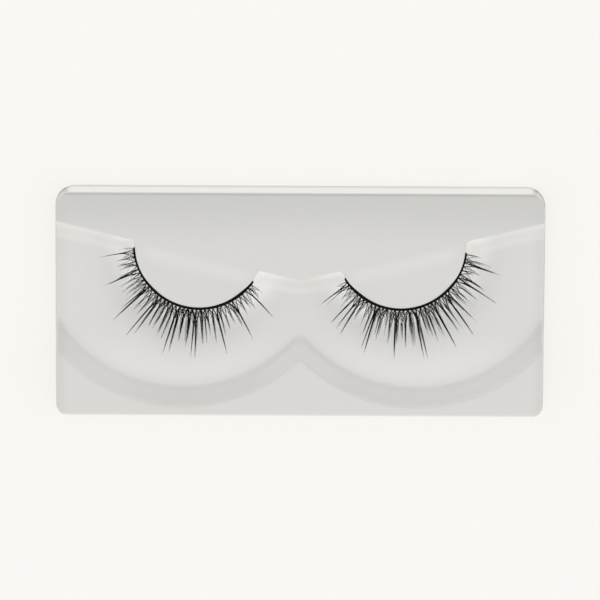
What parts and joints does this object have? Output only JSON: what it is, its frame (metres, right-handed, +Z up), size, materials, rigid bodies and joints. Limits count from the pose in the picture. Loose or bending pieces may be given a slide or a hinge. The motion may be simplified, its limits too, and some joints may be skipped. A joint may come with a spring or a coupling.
{
  "type": "false eyelash pair on a display tray",
  "caption": "Two black strip lashes with spiky tapered hairs, seated round the raised lids of a shallow white thermoformed tray.",
  "frame": {"origin": "bottom centre of the tray, on the plane of its foot lip", "axes": "+X along the tray's length towards the right-hand lash, +Y towards the brow side, +Z up out of the open face of the valley"},
  "size_m": [0.111, 0.0516, 0.011],
  "materials": {
    "tray": "satin white thermoformed sheet, slightly translucent at the edges",
    "band": "matte black cotton cord",
    "fringe": "soft black fibre with a low sheen"
  },
  "bodies": {
    "root": {"tray": "tray", "left_band": "band", "right_band": "band", "left_fringe": "fringe", "right_fringe": "fringe"}
  },
  "joints": []
}
